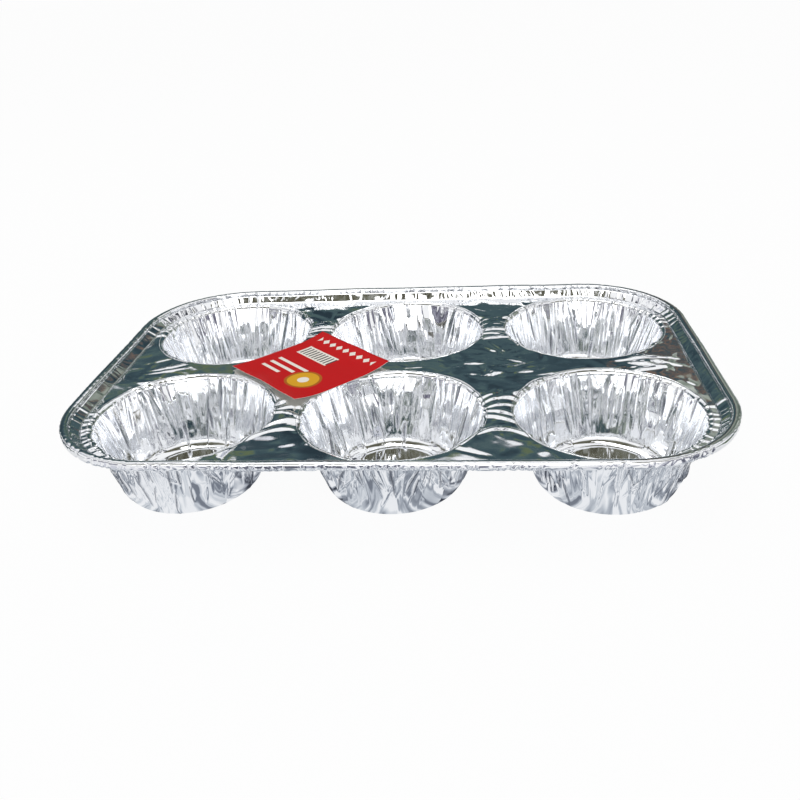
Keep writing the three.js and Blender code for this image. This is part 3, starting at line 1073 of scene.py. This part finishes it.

# Curved cards: set of patches, degrees from +Y, degrees from the floor, and half axes of a nearer lower edge
CARD_DISTANCE = 1.6
CARDS = (
    ("card_behind", "dim_room_behind", (-62, 16.5), (3, 37)),
    ("card_behind_shelf", "dim_room_shelf", (16.5, 21.5), (3, 37)),
    ("card_behind_right", "dim_room_corner", (21.5, 62), (3, 37)),
    ("card_on_floor_behind", "dim_room_behind", (-105, 105), (0.1, 0.1), (0.2, 0.14)),
    ("card_above_behind", "dim_room_haze", (-62, 62), (37, 39.5)),
    ("card_above_left", "dim_room_haze", (-62, -24), (31, 37), (1.5, 1.5)),
    ("card_left", "dim_room_windows", (-118, -62), (3, 44)),
    ("card_right", "dim_room_windows", (62, 118), (3, 44)),
    ("card_high_behind", "dim_room_windows", (-70, 70), (44, 62)),
    ("card_on_floor_in_front", "dim_room_floor", (115, 245), (0.1, 0.1), (0.21, 0.14)),
    ("card_front_left", "dim_room_beside_the_camera", (-140, -118), (0, 28)),
    ("card_front_right", "dim_room_beside_the_camera", (118, 140), (0, 28)),
    ("card_above_camera", "dim_room_above_the_camera", (105, 255), (45, 84)),
)

# Flat cards of painted shade on the floor, seen only in mirrors: set of patches, and reach along X and Y in
# millimetres
CARD_LIFT = 0.05 * MM
FLOOR_CARDS = (
    ("card_before_the_pan", "dim_room_before_the_pan", (-150, 150), (-140, -62)),
    ("card_under_the_pan", "dim_room_under_the_pan", (-125, 125), (-62, 80)),
)

# Lamps: place and size in metres, and power in watts
SOFT_BOXES = (
    ("soft_box_above", (-0.1, -0.07, 1.4), (1.6, 0.3), 4.5),
    ("soft_box_front", (0.1, -1.9, 0.62), (2.0, 0.9), 8),
)

FLOOR_REACH = 30
SENSOR_WIDTH = 36  # millimetres


def hang_card(name, bm, material):
    """Makes a card of a bmesh and hides it from all but mirrors."""
    card = add_object(name, as_mesh(bm, name))
    card.data.materials.append(material)
    card.visible_camera = False
    card.visible_diffuse = False
    card.visible_shadow = False


def add_card(name, material, azimuths, elevations, nearest=(CARD_DISTANCE, CARD_DISTANCE)):
    """Adds a curved card round the pan. Its lower edge can be drawn nearer, to an ellipse."""
    bm = flat_grid("card", 32, 12, 1)
    for vert in bm.verts:
        across = (vert.co.x + 1) / 2
        up = (vert.co.y + 1) / 2
        azimuth = math.radians(azimuths[0] + (azimuths[1] - azimuths[0]) * across)
        elevation = math.radians(elevations[0] + (elevations[1] - elevations[0]) * up)
        lower_edge = 1 / math.hypot(math.sin(azimuth) / nearest[0], math.cos(azimuth) / nearest[1])
        distance = lower_edge + (CARD_DISTANCE - lower_edge) * up
        out = distance * math.cos(elevation)
        vert.co = (out * math.sin(azimuth), out * math.cos(azimuth), distance * math.sin(elevation))
    hang_card(name, bm, material)


def add_floor_card(name, material, reach_x, reach_y):
    """Adds a flat card on the floor."""
    bm = flat_grid("card", 1, 1, 1)
    for vert in bm.verts:
        vert.co = (reach_x[vert.co.x > 0] * MM, reach_y[vert.co.y > 0] * MM, CARD_LIFT)
    hang_card(name, bm, material)


def add_soft_box(name, place, size, power):
    """Adds a soft rectangular lamp that looks at the pan."""
    lamp = bpy.data.lights.new(name, "AREA")
    lamp.shape = "RECTANGLE"
    lamp.size, lamp.size_y = size
    lamp.energy = power
    facing = Vector(place).to_track_quat("Z", "Y").to_matrix().to_4x4()
    add_object(name, lamp).matrix_world = Matrix.Translation(place) @ facing


class FOILPAN_OT_stage(bpy.types.Operator):
    """Set up the floor, the light, what the foil mirrors, and the camera"""
    bl_idname = "foilpan.stage"
    bl_label = "Stage"

    def execute(self, context):
        pan = context.scene.foil_pan
        scene = context.scene
        scene.view_settings.view_transform = "Standard"

        floor = add_object("studio_floor", as_mesh(flat_grid("floor", 1, 1, FLOOR_REACH), "studio_floor"))
        floor.data.materials.append(pale_floor(pan))

        patch_materials = {name: glowing_patches(name, *look) for name, look in PATCH_SETS.items()}
        for name, patch_set, *place in CARDS:
            add_card(name, patch_materials[patch_set], *place)
        for name, patch_set, *place in FLOOR_CARDS:
            add_floor_card(name, patch_materials[patch_set], *place)
        for soft_box in SOFT_BOXES:
            add_soft_box(*soft_box)

        world = bpy.data.worlds.new("studio")
        world.use_nodes = True
        tree = world.node_tree
        tree.nodes.clear()
        strength = add_node(tree, "MapRange", {
            "Value": seen_share(tree, 0.95, 1.0), "To Min": 0.6, "To Max": 1.0})
        sky = add_node(tree, "Background", {"Color": (1, 1, 1, 1), "Strength": strength})
        add_node(tree, "OutputWorld", {"Surface": sky})
        scene.world = world

        camera = bpy.data.cameras.new("photo_camera")
        camera.lens = pan.stage.lens
        camera.sensor_width = SENSOR_WIDTH
        camera.clip_start = 10 * MM
        eye = add_object("photo_camera", camera)
        turn = (Matrix.Rotation(pan.stage.heading, 4, "Z")
                @ Matrix.Rotation(math.pi / 2 - pan.stage.dip, 4, "X")
                @ Matrix.Rotation(pan.stage.roll, 4, "Z"))
        eye.matrix_world = Matrix.Translation(pan.stage.eye) @ turn
        scene.camera = eye
        return {"FINISHED"}


class FOILPAN_PT_panel(bpy.types.Panel):
    """Lists the steps and settings of the pan"""
    bl_label = "Foil Pan"
    bl_idname = "FOILPAN_PT_panel"
    bl_space_type = "VIEW_3D"
    bl_region_type = "UI"
    bl_category = "Foil Pan"

    def draw(self, context):
        pan = context.scene.foil_pan
        for operator in OPERATORS:
            self.layout.operator(operator.bl_idname)
        for group in (pan.foil, pan.cup, pan.border, pan.label, pan.stage):
            box = self.layout.box()
            for name in group.__annotations__:
                box.prop(group, name)


OPERATORS = (FOILPAN_OT_stage, FOILPAN_OT_cups, FOILPAN_OT_deck, FOILPAN_OT_shoulder, FOILPAN_OT_rim,
             FOILPAN_OT_label)
CLASSES = (FoilSettings, CupSettings, BorderSettings, LabelSettings, StageSettings, FoilPanSettings,
           *OPERATORS, FOILPAN_PT_panel)


def register():
    for item in CLASSES:
        bpy.utils.register_class(item)
    bpy.types.Scene.foil_pan = PointerProperty(type=FoilPanSettings)


def unregister():
    del bpy.types.Scene.foil_pan
    for item in reversed(CLASSES):
        bpy.utils.unregister_class(item)


def main():
    register()
    bpy.ops.foilpan.stage()
    bpy.ops.foilpan.cups()
    bpy.ops.foilpan.deck()
    bpy.ops.foilpan.shoulder()
    bpy.ops.foilpan.rim()
    bpy.ops.foilpan.label()


if __name__ == "__main__":
    main()
